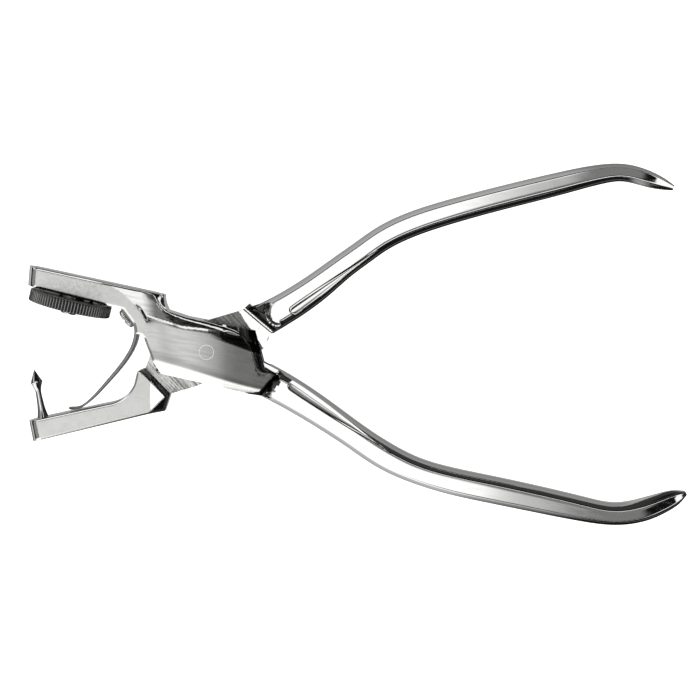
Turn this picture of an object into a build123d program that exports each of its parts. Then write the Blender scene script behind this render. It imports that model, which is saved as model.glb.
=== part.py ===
from build123d import *
import os
from math import atan2, cos, degrees, hypot, pi, radians, sin

os.makedirs("parts", exist_ok=True)

# Rotary hole punch pliers, in millimetres, lying flat and open to the stop.
# The pliers are drawn about their middle plane and lifted at the end, so the row's origin is on
# the pivot axis, in the rear cheek's flat face. +X runs to the handles, +Y to the wheel jaw's
# side, and +Z is the pivot axis, out of the front cheek.

# ---- driving dimensions -------------------------------------------------------------------
JAW_HALF = 3.7  # half the depth of both jaws
BOX_HALF = 4.7  # half the depth over the two cheeks of the box joint
TONGUE_HALF = 1.5  # half the thickness of the tongue in the box
SLOT_CLEARANCE = 0.05  # between the tongue and each cheek
HANDLE_BEVEL = 1.44  # in-plane width of the long bevels on the handles
HANDLE_FLANK = 1.0  # half the height of the upright flank between two bevels
JAW_TIP_RADIUS = 2.6  # rounding of both jaw ends, seen from above
CLOSING_ANGLE = 23.6  # degrees from the open stop to the punch seated in a die hole
CHEEK_SLOPE = 38  # degrees the edges of the raised cheeks lean
HOLE_RUNOUT = 0.35  # how much deeper a threaded hole is than its screw
SEAT_GAP = 0.02  # under a screw head or a washer
CUT_OVERRUN = 1.0  # how far cutters run past the surface they open

PIVOT_R = 1.8
RUNNING_FIT = 0.03  # radial clearance of whatever turns

JAW_TILT = 14.0  # degrees the wheel jaw's underside falls towards the throat
JAW_UNDERSIDE_END = (-46.1, 17.1)  # the underside's outer end
JAW_UNDERSIDE_LENGTH = 22.5
JAW_END_TOP = (-45.6, 22.15)

WHEEL_R = 10.6
WHEEL_THICKNESS = 3.05
WHEEL_TEETH = 80
WHEEL_TOOTH_DEPTH = 0.32
WHEEL_RIM_BEVEL = 0.3
TOOTH_TOP = 0.36  # the share of a tooth's pitch at full radius
TOOTH_FOOT = 0.68  # the share of its pitch where the tooth has fallen to its foot
WHEEL_GAP = 0.45  # between the jaw's underside and the wheel, filled by the washer
WHEEL_FROM_JAW_END = 11.5  # the wheel's axis, along the underside from its outer end
DIE_HOLES = 8
DIE_SMALLEST = 0.9  # the narrowest hole, across
DIE_STEP = 0.2  # each hole is this much wider than the one before
DIE_RELIEF = 0.6  # the slug's way out of the top is this much wider than the hole
DETENT_RING_R = 5.2
DETENT_PIT_DEPTH = 0.05

BALL_R = 1.0
DETENT_BORE_R = BALL_R + RUNNING_FIT
DETENT_BORE_DEPTH = 4.0
DETENT_WIRE_R = 0.15
DETENT_COIL_R = 0.7
DETENT_COILS = 4.5
DETENT_PRELOAD = 0.12  # how far the spring's end coil reaches round the ball's crown

SCREW_SHOULDER_R = 1.5
SCREW_HEAD_R = 2.1
SCREW_HEAD_HEIGHT = 1.35
SCREW_THREAD_R = 1.0
SCREW_THREAD_LENGTH = 3.6
SCREW_SLOT = 0.5
SCREW_HEAD_CHAMFER = 0.3
SCREW_SHOULDER_OVERLAP = 0.1  # the shoulder's run into the head
WASHER_R = 3.4

PUNCH_TIP = (-45.03, -4.9)
PUNCH_LEAN = CLOSING_ANGLE - JAW_TILT  # so that the closed punch stands along the die hole
PUNCH_STUD_R = 0.95
PUNCH_STUD_LENGTH = 3.4
# distance below the tip, radius
PUNCH_PROFILE = ((3.2, 1.55), (3.6, 1.45), (5.5, 0.8), (7.5, 0.8), (10.5, 1.05), (12.95, 1.6))

LEAF_THICKNESS = 0.9  # at the root
LEAF_RECESS = 0.35  # how deep the root lies in its groove
LEAF_ROOT_HALF = 2.9
LEAF_FOOT_HALF = 1.8
LEAF_GROOVE_CLEARANCE = 0.15
LEAF_ROOT_OVERRUN = 0.4  # how far the root starts above the pad
LEAF_PAD_OVERRUN = 0.6  # and how far it runs straight below it
LEAF_HOLE_CLEARANCE = 0.1
# the leaf's line beyond its seat, down to the upturned foot: x, y, thickness
LEAF_ROUTE = (
    (-18.35, 3.8, 0.88),
    (-20.85, -1.75, 0.95),
    (-26.42, -8.53, 0.82),
    (-31.75, -13.75, 0.58),
    (-33.5, -14.72, 0.5),
    (-36.1, -14.85, 0.45),
)
SPRING_SCREW_DOWN = 2.33  # along the pad, from its top
SPRING_SCREW_HEAD_R = 2.6
SPRING_SCREW_HEAD_HEIGHT = 1.5
SPRING_SCREW_THREAD_R = 1.1
SPRING_SCREW_THREAD_LENGTH = 3.0
SPRING_SCREW_DOME = 0.6

# ---- directions worked out from them --------------------------------------------------------
WHEEL_AXIS = (sin(radians(JAW_TILT)), cos(radians(JAW_TILT)))
ALONG_JAW = (WHEEL_AXIS[1], -WHEEL_AXIS[0])  # along the underside, towards the throat
PUNCH_AXIS = (-sin(radians(PUNCH_LEAN)), cos(radians(PUNCH_LEAN)))


def along(start, direction, distance):
    """The point at a distance from start in a direction."""
    return (start[0] + direction[0] * distance, start[1] + direction[1] * distance)


WHEEL_TOP = along(
    along(JAW_UNDERSIDE_END, ALONG_JAW, WHEEL_FROM_JAW_END), WHEEL_AXIS, -WHEEL_GAP
)
WHEEL_CENTRE = along(WHEEL_TOP, WHEEL_AXIS, -WHEEL_THICKNESS / 2)
JAW_OVER_WHEEL = along(WHEEL_TOP, WHEEL_AXIS, WHEEL_GAP)
# the ring of die holes passes over the tip of the closed punch
CLOSED_TIP = (
    PUNCH_TIP[0] * cos(radians(CLOSING_ANGLE)) + PUNCH_TIP[1] * sin(radians(CLOSING_ANGLE)),
    PUNCH_TIP[1] * cos(radians(CLOSING_ANGLE)) - PUNCH_TIP[0] * sin(radians(CLOSING_ANGLE)),
)
DIE_RING_R = (WHEEL_CENTRE[0] - CLOSED_TIP[0]) * ALONG_JAW[0] + (
    WHEEL_CENTRE[1] - CLOSED_TIP[1]
) * ALONG_JAW[1]

# the flat pad in the throat that carries the leaf spring
PAD_TOP = (-21.3, 10.95)
PAD_BOTTOM = (-18.75, 7.45)
PAD_LENGTH = hypot(PAD_BOTTOM[0] - PAD_TOP[0], PAD_BOTTOM[1] - PAD_TOP[1])
PAD_DOWN = (
    (PAD_BOTTOM[0] - PAD_TOP[0]) / PAD_LENGTH,
    (PAD_BOTTOM[1] - PAD_TOP[1]) / PAD_LENGTH,
)
PAD_OUT = (PAD_DOWN[1], -PAD_DOWN[0])  # out of the throat wall, into the mouth
SPRING_SCREW_PLACE = along(PAD_TOP, PAD_DOWN, SPRING_SCREW_DOWN)
THROAT_FOOT = (-18.2, 4.7)

# the box's outline, from the foot of the throat wall round the handle side to the notch
BOX_LOWER_LEFT = (-12.85, -5.45)
BOX_EDGE = (
    BOX_LOWER_LEFT,
    (-0.4, -8.0),
    (10.8, -10.8),
    (14.0, -11.35),
    (18.3, -5.8),
    (14.8, -3.9),
    (12.45, 5.45),
    (-4.9, 8.8),
    (-10.0, 10.5),
)
NOTCH_MIDDLE = (-10.6, 11.9)
NOTCH_TOP = (-10.9, 14.6)

# the tongue arm's shoulders: the punch jaw's, and the handle's
JAW_SHOULDER = ((-16.0, -4.35), (-9.55, -11.0))
HANDLE_SHOULDER = ((9.2, 10.85), (16.45, 4.65))
SHOULDER_TURN = 44.2  # degrees the jaw's shoulder leans from the vertical
SHOULDER_FROM_PIVOT = 14.52  # to the foot of its ramp
SHOULDER_RAMP = 1.26
HANDLE_ROOT_HALF = 3.0

# handle routes from the root to the tip: x, y, width in the plane, half depth
LOWER_HANDLE = (
    (12.0, -6.0, 8.6, 3.4),
    (18.4, -9.35, 8.4, 3.4),
    (30.65, -17.0, 7.5, 3.4),
    (38.3, -22.35, 7.0, 3.4),
    (45.95, -27.4, 7.1, 3.4),
    (53.8, -31.15, 6.75, 3.4),
    (61.2, -33.5, 6.85, 3.4),
    (72.3, -36.0, 7.0, 3.4),
    (83.2, -38.3, 6.9, 3.3),
    (97.9, -41.5, 6.3, 3.2),
    (105.9, -42.65, 5.8, 3.1),
    (113.9, -41.4, 5.9, 2.7),
    (119.0, -39.5, 5.1, 2.0),
    (122.3, -38.1, 3.5, 1.4),
    (124.4, -37.2, 1.2, 0.8),
)
UPPER_HANDLE = (
    (14.5, 8.0, 8.4, 3.4),
    (18.5, 10.2, 8.1, 3.4),
    (28.6, 16.8, 7.35, 3.4),
    (35.5, 22.2, 6.5, 3.4),
    (40.0, 25.45, 6.35, 3.4),
    (44.7, 28.75, 6.35, 3.4),
    (49.6, 31.35, 6.4, 3.4),
    (61.6, 35.6, 6.3, 3.4),
    (75.6, 39.4, 6.1, 3.3),
    (92.0, 43.45, 5.75, 3.2),
    (101.0, 45.45, 5.05, 3.1),
    (107.0, 45.85, 4.5, 2.8),
    (113.1, 44.35, 4.2, 2.3),
    (117.3, 42.9, 2.9, 1.5),
    (119.8, 42.0, 1.4, 0.9),
)
# the scoops along the inner sides of the handles, near end and far end
LOWER_FLUTE = ((25.5, -10.6), (46.0, -25.3))
UPPER_FLUTE = ((24.0, 11.2), (46.0, 27.6))
FLUTE_NEAR_R = 1.6
FLUTE_FAR_R = 0.5
FLUTE_HEIGHT = 3.6


# ---- shared shapes ----------------------------------------------------------------------------
def plate(face, half):
    """A face of the XY plane as a plate, the same distance each side of the middle plane."""
    return Pos(0, 0, -half) * extrude(face, amount=2 * half)


def outline(*points):
    """A closed straight-sided face."""
    return make_face(Polyline(*points, close=True))


def plane_along(point, axis):
    """A plane at a point of the middle plane, whose normal lies in it."""
    return Plane(origin=(*point, 0), x_dir=(0, 0, 1), z_dir=(*axis, 0))


def rod(point, axis, radius, start, end):
    """A round rod about an axis in the middle plane, from start to end along it."""
    base = plane_along(along(point, axis, start), axis)
    return extrude(base * Circle(radius), amount=end - start)


def handle(route):
    """A bar of bevelled section that tapers to a leaf-shaped tip."""
    centre = Spline(*[(x, y) for x, y, _, _ in route])
    sections = []
    for x, y, width, half in route:
        side = min(width * 0.45, HANDLE_BEVEL)
        flank = HANDLE_FLANK * half / LOWER_HANDLE[0][3]
        wide = width / 2
        corners = (
            (wide, flank),
            (wide - side, half),
            (side - wide, half),
            (-wide, flank),
            (-wide, -flank),
            (side - wide, -half),
            (wide - side, -half),
            (wide, -flank),
        )
        place = centre.param_at_point((x, y))
        tangent = centre % place
        across = (-tangent.Y, tangent.X, 0)
        section = Plane(origin=(x, y, 0), x_dir=across, z_dir=(tangent.X, tangent.Y, 0))
        sections.append(section * outline(*corners))
    return loft(sections)


def flute(near, far):
    """The cutters for a scoop along a handle, blunt towards the root, on both faces."""
    run = hypot(far[0] - near[0], far[1] - near[1])
    turn = degrees(atan2(far[1] - near[1], far[0] - near[0]))
    profile = outline((0, 0), (run, 0), (run, FLUTE_FAR_R), (0, FLUTE_NEAR_R))
    cutter = revolve(profile, Axis.X) + Sphere(FLUTE_NEAR_R)
    front = Pos(near[0], near[1], FLUTE_HEIGHT) * Rot(0, 0, turn) * cutter
    return [front, mirror(front, Plane.XY)]


def round_jaw_end(jaw):
    """Round the two upright corners of a jaw's outer end."""
    uprights = [edge for edge in jaw.edges() if abs((edge @ 1 - edge @ 0).Y) > 3]
    ends = [edge for edge in uprights if edge.center().X < JAW_END_TOP[0] + 1]
    return fillet([edge for edge in ends if abs(edge.center().Z) > JAW_HALF / 2], JAW_TIP_RADIUS)


# ---- the box arm: wheel jaw, slotted box and lower handle ---------------------------------------
def box_arm_outline():
    """The jaw, the throat wall and the box, seen along the pivot."""
    underside_foot = along(JAW_UNDERSIDE_END, ALONG_JAW, JAW_UNDERSIDE_LENGTH)
    edge = (
        Line(JAW_END_TOP, JAW_UNDERSIDE_END)
        + Line(JAW_UNDERSIDE_END, underside_foot)
        + ThreePointArc(underside_foot, (-22.6, 11.35), PAD_TOP)
        + Line(PAD_TOP, PAD_BOTTOM)
        + ThreePointArc(PAD_BOTTOM, (-18.35, 6.2), THROAT_FOOT)
        + Polyline(THROAT_FOOT, (-16.7, 4.3), (-16.05, 3.5), BOX_LOWER_LEFT)
        + Polyline(*BOX_EDGE)
        + ThreePointArc(BOX_EDGE[-1], NOTCH_MIDDLE, NOTCH_TOP)
        + Line(NOTCH_TOP, JAW_END_TOP)
    )
    return make_face(edge)


def cheek_raise():
    """What the box stands proud of the jaw, on the front, with sloping edges."""
    start = (-24.5, 17.35)
    satin_edge = Spline(start, (-19.1, 12.9), (-15.8, 8.4), (-14.7, 2.2), BOX_LOWER_LEFT)
    rest = Polyline(*BOX_EDGE, NOTCH_TOP, start)
    face = make_face(satin_edge + rest)
    return Pos(0, 0, JAW_HALF) * extrude(face, amount=BOX_HALF - JAW_HALF, taper=CHEEK_SLOPE)


def joint_slot():
    """The way through the box that the tongue swings in, open on the throat and handle sides."""
    swept = outline(
        (-16.4, 3.2),
        (-20.0, 3.2),
        (-20.0, -8.0),
        (-0.5, -14.0),
        (-0.5, -8.0),
        (2.1, -6.5),
        (13.95, -5.42),
        (17.2, -2.6),
        (25.0, 8.0),
        (25.0, 12.0),
        (-1.1, 12.0),
        (-1.1, 7.63),
        (-2.5, 6.85),
        (-13.9, 5.4),
    )
    return plate(swept, TONGUE_HALF + SLOT_CLEARANCE)


def leaf_groove():
    """The groove in the throat wall that the leaf's root lies in and leaves downwards."""
    top = along(PAD_TOP, PAD_DOWN, -2 * LEAF_ROOT_OVERRUN)
    straight_end = along(PAD_BOTTOM, PAD_DOWN, 1.7)
    section = outline(
        along(top, PAD_OUT, -LEAF_RECESS),
        along(straight_end, PAD_OUT, -LEAF_RECESS),
        (-17.3, 4.0),
        (-19.0, 4.0),
        along(PAD_BOTTOM, PAD_OUT, 0.6),
        along(top, PAD_OUT, 1.5),
    )
    return plate(section, LEAF_ROOT_HALF + LEAF_GROOVE_CLEARANCE)


def make_box_arm():
    body = round_jaw_end(plate(box_arm_outline(), JAW_HALF))
    front = cheek_raise()
    body = body + front + mirror(front, Plane.XY)
    body = body + handle(LOWER_HANDLE)
    for scoop in flute(*LOWER_FLUTE):
        body = body - scoop
    body = body - joint_slot()
    body = body - Cylinder(PIVOT_R, 4 * BOX_HALF)
    body = body - leaf_groove()
    thread_end = -SPRING_SCREW_THREAD_LENGTH - HOLE_RUNOUT
    body = body - rod(SPRING_SCREW_PLACE, PAD_OUT, SPRING_SCREW_THREAD_R, thread_end, CUT_OVERRUN)
    thread_end = SCREW_THREAD_LENGTH + HOLE_RUNOUT
    body = body - rod(JAW_OVER_WHEEL, WHEEL_AXIS, SCREW_THREAD_R, -CUT_OVERRUN, thread_end)
    return body - rod(detent_foot(), WHEEL_AXIS, DETENT_BORE_R, -CUT_OVERRUN, DETENT_BORE_DEPTH)


# ---- the tongue arm: punch jaw, tongue and upper handle -----------------------------------------
def tongue_outline():
    """The thin plate that passes through the box, as far as its two shoulders."""
    return outline(
        (-16.4, -4.8),
        (-9.8, -11.6),
        (-9.78, -11.0),
        (-3.0, -9.1),
        (-1.7, -8.45),
        (14.7, 0.8),
        (16.4, 4.7),
        (16.6, 5.6),
        (10.2, 11.3),
        (9.41, 10.66),
        (-0.5, 7.82),
        (-14.7, -0.8),
        (-16.0, -4.35),
    )


def punch_jaw_outline():
    """The lower jaw, seen along the pivot."""
    edge = (
        Polyline((-45.4, -23.4), (-46.35, -18.0), (-25.9, -13.6))
        + ThreePointArc((-25.9, -13.6), (-20.9, -11.3), (-18.75, -8.4))
        + Polyline((-18.75, -8.4), (-17.95, -5.15), *JAW_SHOULDER)
        + Polyline(JAW_SHOULDER[1], (-11.0, -15.4), (-15.3, -16.1), (-45.4, -23.4))
    )
    return make_face(edge)


def shoulder_ramp():
    """The cutter that slopes the punch jaw's shoulder down to the tongue, on the front."""
    above = 2 * JAW_HALF
    clear = SHOULDER_FROM_PIVOT - 4 * CUT_OVERRUN
    section = outline(
        (SHOULDER_FROM_PIVOT, TONGUE_HALF),
        (SHOULDER_FROM_PIVOT + SHOULDER_RAMP, JAW_HALF),
        (SHOULDER_FROM_PIVOT + SHOULDER_RAMP, above),
        (clear, above),
        (clear, TONGUE_HALF),
    )
    wedge = extrude(Plane.XZ * section, amount=JAW_UNDERSIDE_LENGTH, both=True)
    return Rot(0, 0, 180 + SHOULDER_TURN) * wedge


def make_tongue_arm():
    jaw = round_jaw_end(plate(punch_jaw_outline(), JAW_HALF))
    ramp = shoulder_ramp()
    jaw = jaw - ramp - mirror(ramp, Plane.XY)
    root = outline(*HANDLE_SHOULDER, (22.5, 8.2), (18.2, 14.3), (13.9, 12.35))
    body = plate(tongue_outline(), TONGUE_HALF) + jaw + plate(root, HANDLE_ROOT_HALF)
    near_end, far_end = HANDLE_SHOULDER
    past_tips = LOWER_HANDLE[-1][0] + 10
    beyond = outline(
        near_end,
        far_end,
        (past_tips, far_end[1]),
        (past_tips, past_tips),
        (near_end[0], past_tips),
    )
    body = body + (handle(UPPER_HANDLE) & plate(beyond, 2 * BOX_HALF))
    for scoop in flute(*UPPER_FLUTE):
        body = body - scoop
    body = body - Cylinder(PIVOT_R + RUNNING_FIT, 4 * BOX_HALF)
    base_down, base_r = PUNCH_PROFILE[-1]
    base = along(PUNCH_TIP, PUNCH_AXIS, -base_down)
    body = body - rod(base, PUNCH_AXIS, base_r + RUNNING_FIT, 0, 3 * CUT_OVERRUN)
    stud_end = -PUNCH_STUD_LENGTH - HOLE_RUNOUT
    return body - rod(base, PUNCH_AXIS, PUNCH_STUD_R, stud_end, CUT_OVERRUN)


# ---- the wheel and what holds it ----------------------------------------------------------------
def wheel_place():
    """The wheel's own frame: Z along its axis, X towards the jaw's end."""
    return Plane(
        origin=(*WHEEL_CENTRE, 0),
        x_dir=(-ALONG_JAW[0], -ALONG_JAW[1], 0),
        z_dir=(*WHEEL_AXIS, 0),
    ).location


def make_die_wheel():
    rim = []
    tooth_points = ((0.0, WHEEL_R), (TOOTH_TOP, WHEEL_R), (TOOTH_FOOT, WHEEL_R - WHEEL_TOOTH_DEPTH))
    for tooth in range(WHEEL_TEETH):
        for step, radius in tooth_points:
            angle = 2 * pi * (tooth + step) / WHEEL_TEETH
            rim.append((radius * cos(angle), radius * sin(angle)))
    half = WHEEL_THICKNESS / 2
    wheel = plate(outline(*rim), half)
    outside = WHEEL_R + WHEEL_RIM_BEVEL / 6
    bevelled = outline(
        (0, -half),
        (WHEEL_R - WHEEL_RIM_BEVEL, -half),
        (outside, WHEEL_RIM_BEVEL - half),
        (outside, half - WHEEL_RIM_BEVEL),
        (WHEEL_R - WHEEL_RIM_BEVEL, half),
        (0, half),
    )
    wheel = wheel & revolve(Plane.XZ * bevelled, Axis.Z)
    wheel = wheel - Cylinder(SCREW_SHOULDER_R + RUNNING_FIT, 2 * WHEEL_THICKNESS)
    pit_height = half + BALL_R - DETENT_PIT_DEPTH
    for index in range(DIE_HOLES):
        turn = Rot(0, 0, 360 * index / DIE_HOLES)
        radius = (DIE_SMALLEST + DIE_STEP * index) / 2
        wheel = wheel - turn * Pos(DIE_RING_R, 0, 0) * Cylinder(radius, 2 * WHEEL_THICKNESS)
        relief = Cylinder(radius + DIE_RELIEF / 2, half, align=(Align.CENTER, Align.CENTER, Align.MIN))
        wheel = wheel - turn * Pos(DIE_RING_R, 0, half / 2) * relief
        wheel = wheel - turn * Pos(DETENT_RING_R, 0, pit_height) * Sphere(BALL_R)
    return wheel_place() * wheel


def make_wheel_screw():
    low = -WHEEL_THICKNESS - WHEEL_GAP
    shoulder_end = low - SCREW_SHOULDER_OVERLAP
    screw = rod(JAW_OVER_WHEEL, WHEEL_AXIS, SCREW_SHOULDER_R, shoulder_end, 0)
    screw = screw + rod(JAW_OVER_WHEEL, WHEEL_AXIS, SCREW_THREAD_R, 0, SCREW_THREAD_LENGTH)
    head = rod(JAW_OVER_WHEEL, WHEEL_AXIS, SCREW_HEAD_R, low - SCREW_HEAD_HEIGHT, low - SEAT_GAP)
    screw = screw + chamfer(head.edges().sort_by(Axis.Y)[0], SCREW_HEAD_CHAMFER)
    slot_place = plane_along(along(JAW_OVER_WHEEL, WHEEL_AXIS, low - SCREW_HEAD_HEIGHT), WHEEL_AXIS)
    return screw - slot_place.location * Box(SCREW_SLOT, 3 * SCREW_HEAD_R, 2 * SCREW_SLOT)


def make_washer():
    ring = rod(JAW_OVER_WHEEL, WHEEL_AXIS, WASHER_R, SEAT_GAP - WHEEL_GAP, 0)
    return ring - rod(JAW_OVER_WHEEL, WHEEL_AXIS, SCREW_SHOULDER_R + RUNNING_FIT, -CUT_OVERRUN, CUT_OVERRUN)


def detent_foot():
    """Where the detent's axis leaves the jaw, on the throat side of the wheel's axis."""
    return along(JAW_OVER_WHEEL, ALONG_JAW, DETENT_RING_R)


def make_detent_ball():
    centre = along(detent_foot(), WHEEL_AXIS, BALL_R - WHEEL_GAP - DETENT_PIT_DEPTH)
    return Pos(*centre, 0) * Sphere(BALL_R)


def make_detent_spring():
    ball_top = 2 * BALL_R - WHEEL_GAP - DETENT_PIT_DEPTH
    low = ball_top - DETENT_PRELOAD
    high = DETENT_BORE_DEPTH - DETENT_WIRE_R - SEAT_GAP
    coil = Helix(pitch=(high - low) / DETENT_COILS, height=high - low, radius=DETENT_COIL_R)
    section = Plane(coil @ 0, z_dir=coil % 0) * Circle(DETENT_WIRE_R)
    spring = sweep(section, path=coil)
    return plane_along(along(detent_foot(), WHEEL_AXIS, low), WHEEL_AXIS).location * spring


# ---- pins, punch and leaf spring -----------------------------------------------------------------
def make_pivot_pin():
    return Cylinder(PIVOT_R, 2 * BOX_HALF)


def make_punch_pin():
    points = [(radius, -down) for down, radius in PUNCH_PROFILE]
    base = points[-1]
    stud_end = base[1] - PUNCH_STUD_LENGTH
    stud = Polyline(base, (PUNCH_STUD_R, base[1]), (PUNCH_STUD_R, stud_end), (0, stud_end), (0, 0))
    edge = Polyline((0, 0), points[0], points[1]) + Spline(*points[1:]) + stud
    pin = revolve(Plane.XZ * make_face(edge), Axis.Z)
    return plane_along(PUNCH_TIP, PUNCH_AXIS).location * pin


def leaf_outline():
    """The leaf seen from its edge: a straight root on the pad, then a tapering bow and its foot."""
    seat = LEAF_THICKNESS / 2 - LEAF_RECESS
    root = along(along(PAD_TOP, PAD_DOWN, -LEAF_ROOT_OVERRUN), PAD_OUT, seat)
    leaves_pad = along(along(PAD_BOTTOM, PAD_DOWN, LEAF_PAD_OVERRUN), PAD_OUT, seat)
    bow = Spline(leaves_pad, *[(x, y) for x, y, _ in LEAF_ROUTE], tangents=[PAD_DOWN, (-1, 0.1)])
    sides = []
    for side in (1, -1):
        points = []
        for x, y, thickness in LEAF_ROUTE:
            tangent = bow % bow.param_at_point((x, y))
            offset = side * thickness / 2
            points.append((x - tangent.Y * offset, y + tangent.X * offset))
        root_side = along(root, PAD_OUT, -side * LEAF_THICKNESS / 2)
        pad_side = along(leaves_pad, PAD_OUT, -side * LEAF_THICKNESS / 2)
        sides.append((root_side, pad_side, points))
    (root_back, pad_back, back), (root_front, pad_front, front) = sides
    edge = (
        Line(root_back, pad_back)
        + Spline(pad_back, *back, tangents=[PAD_DOWN, (-1, 0.1)])
        + Line(back[-1], front[-1])
        + Spline(pad_front, *front, tangents=[PAD_DOWN, (-1, 0.1)])
        + Line(pad_front, root_front)
        + Line(root_front, root_back)
    )
    return make_face(edge)


def make_leaf_spring():
    leaf = plate(leaf_outline(), LEAF_ROOT_HALF)
    root_x = 0
    taper_x = PAD_BOTTOM[0]
    foot_x = LEAF_ROUTE[-1][0] - CUT_OVERRUN
    from_above = Plane.XZ * outline(
        (root_x, LEAF_ROOT_HALF),
        (taper_x, LEAF_ROOT_HALF),
        (foot_x, LEAF_FOOT_HALF),
        (foot_x, -LEAF_FOOT_HALF),
        (taper_x, -LEAF_ROOT_HALF),
        (root_x, -LEAF_ROOT_HALF),
    )
    leaf = leaf & extrude(from_above, amount=-2 * LEAF_ROUTE[-1][1], both=True)
    hole_r = SPRING_SCREW_THREAD_R + LEAF_HOLE_CLEARANCE
    return leaf - rod(SPRING_SCREW_PLACE, PAD_OUT, hole_r, -2 * CUT_OVERRUN, 2 * CUT_OVERRUN)


def make_spring_screw():
    seat = LEAF_THICKNESS - LEAF_RECESS + SEAT_GAP
    top = seat + SPRING_SCREW_HEAD_HEIGHT
    head = rod(SPRING_SCREW_PLACE, PAD_OUT, SPRING_SCREW_HEAD_R, seat, top)
    outward = Axis((*PAD_TOP, 0), (*PAD_OUT, 0))
    head = fillet(head.edges().sort_by(outward)[-1], SPRING_SCREW_DOME)
    shank_end = seat + SCREW_SHOULDER_OVERLAP
    shank = rod(
        SPRING_SCREW_PLACE, PAD_OUT, SPRING_SCREW_THREAD_R, -SPRING_SCREW_THREAD_LENGTH, shank_end
    )
    slot_place = plane_along(along(SPRING_SCREW_PLACE, PAD_OUT, top), PAD_OUT)
    slot = slot_place.location * Box(SCREW_SLOT, 3 * SPRING_SCREW_HEAD_R, 2 * SCREW_SLOT)
    return head + shank - slot


NODES = {
    "box_arm": make_box_arm,
    "tongue_arm": make_tongue_arm,
    "pivot_pin": make_pivot_pin,
    "die_wheel": make_die_wheel,
    "wheel_screw": make_wheel_screw,
    "wheel_washer": make_washer,
    "detent_ball": make_detent_ball,
    "detent_spring": make_detent_spring,
    "punch_pin": make_punch_pin,
    "leaf_spring": make_leaf_spring,
    "spring_screw": make_spring_screw,
}

for name, make in NODES.items():
    lifted = Pos(0, 0, BOX_HALF) * make()
    solids = lifted.solids()
    print(name, len(solids), "solid", round(sum(s.volume for s in solids), 2), "mm3")
    export_step(Compound(children=solids) if len(solids) > 1 else solids[0], f"parts/{name}.step")
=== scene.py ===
from math import atan2, cos, hypot, pi, radians, sin, tan

import bmesh
import bpy
import numpy as np
from mathutils import Matrix, Vector, geometry, noise


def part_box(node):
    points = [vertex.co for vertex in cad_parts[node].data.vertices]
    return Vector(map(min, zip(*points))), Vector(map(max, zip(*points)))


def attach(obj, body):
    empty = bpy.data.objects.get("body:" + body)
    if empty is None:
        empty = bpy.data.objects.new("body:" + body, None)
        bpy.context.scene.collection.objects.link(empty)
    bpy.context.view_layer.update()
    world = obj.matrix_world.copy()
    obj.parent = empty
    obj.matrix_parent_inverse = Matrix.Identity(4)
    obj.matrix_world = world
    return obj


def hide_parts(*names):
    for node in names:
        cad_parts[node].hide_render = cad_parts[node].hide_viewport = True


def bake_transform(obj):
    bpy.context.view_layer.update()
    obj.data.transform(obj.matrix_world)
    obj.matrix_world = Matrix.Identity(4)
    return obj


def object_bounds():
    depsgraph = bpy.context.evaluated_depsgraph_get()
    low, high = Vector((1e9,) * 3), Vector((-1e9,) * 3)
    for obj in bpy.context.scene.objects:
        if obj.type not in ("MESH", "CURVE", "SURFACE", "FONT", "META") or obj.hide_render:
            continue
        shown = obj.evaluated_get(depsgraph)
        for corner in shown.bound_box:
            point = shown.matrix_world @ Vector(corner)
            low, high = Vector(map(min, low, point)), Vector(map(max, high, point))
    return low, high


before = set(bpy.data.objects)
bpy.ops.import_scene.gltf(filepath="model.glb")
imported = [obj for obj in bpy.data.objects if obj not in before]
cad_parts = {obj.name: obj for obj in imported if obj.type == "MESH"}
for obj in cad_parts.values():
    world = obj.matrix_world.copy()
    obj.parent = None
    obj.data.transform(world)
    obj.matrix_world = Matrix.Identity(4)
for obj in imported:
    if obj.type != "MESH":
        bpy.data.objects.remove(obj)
cad_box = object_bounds()

# Shapes below are in millimetres about the pliers' middle plane, as in the CAD part: the pivot
# axis is the origin, +X runs to the handles and +Y is the wheel jaw's side.
MM = 0.001
MID_PLANE = (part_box("pivot_pin")[0].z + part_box("pivot_pin")[1].z) / 2

JAW_HALF = 3.7
BOX_HALF = 4.7
TONGUE_HALF = 1.5
PIVOT_R = 1.8
PIN_GROOVE = 1.92  # the fine groove round the pin's flush ends
PIN_GROOVE_DEPTH = 0.16
TONGUE_BORE_R = 1.83
JAW_TILT = radians(14.0)
CLOSING_ANGLE = radians(23.6)

JAW_UNDERSIDE_END = (-46.1, 17.1)
JAW_END_TOP = (-45.6, 22.15)
UNDERSIDE_FOOT = (-24.27, 11.66)
PAD_TOP = (-21.3, 10.95)
PAD_BOTTOM = (-18.75, 7.45)
PAD_DOWN = (0.589, -0.808)
PAD_OUT = (-0.808, -0.589)
THROAT_FOOT = (-18.2, 4.7)
BOX_LOWER_LEFT = (-12.85, -5.45)
BOX_UPPER_RIGHT = (12.45, 5.45)
NOTCH_FOOT = (-10.0, 10.5)
NOTCH_MIDDLE = (-10.6, 11.9)
NOTCH_TOP = (-10.9, 14.6)

WHEEL_AXIS = (sin(JAW_TILT), cos(JAW_TILT))
ALONG_JAW = (WHEEL_AXIS[1], -WHEEL_AXIS[0])
WHEEL_R = 10.6
WHEEL_THICKNESS = 3.05
WHEEL_GAP = 0.45
WHEEL_FROM_JAW_END = 11.5
WHEEL_TEETH = 80
TOOTH_DEPTH = 0.34
DIE_RING_R = 7.85
DIE_HOLES = 8

PUNCH_TIP = (-45.03, -4.9)
PUNCH_LEAN = CLOSING_ANGLE - JAW_TILT
PUNCH_AXIS = (-sin(PUNCH_LEAN), cos(PUNCH_LEAN))

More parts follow.
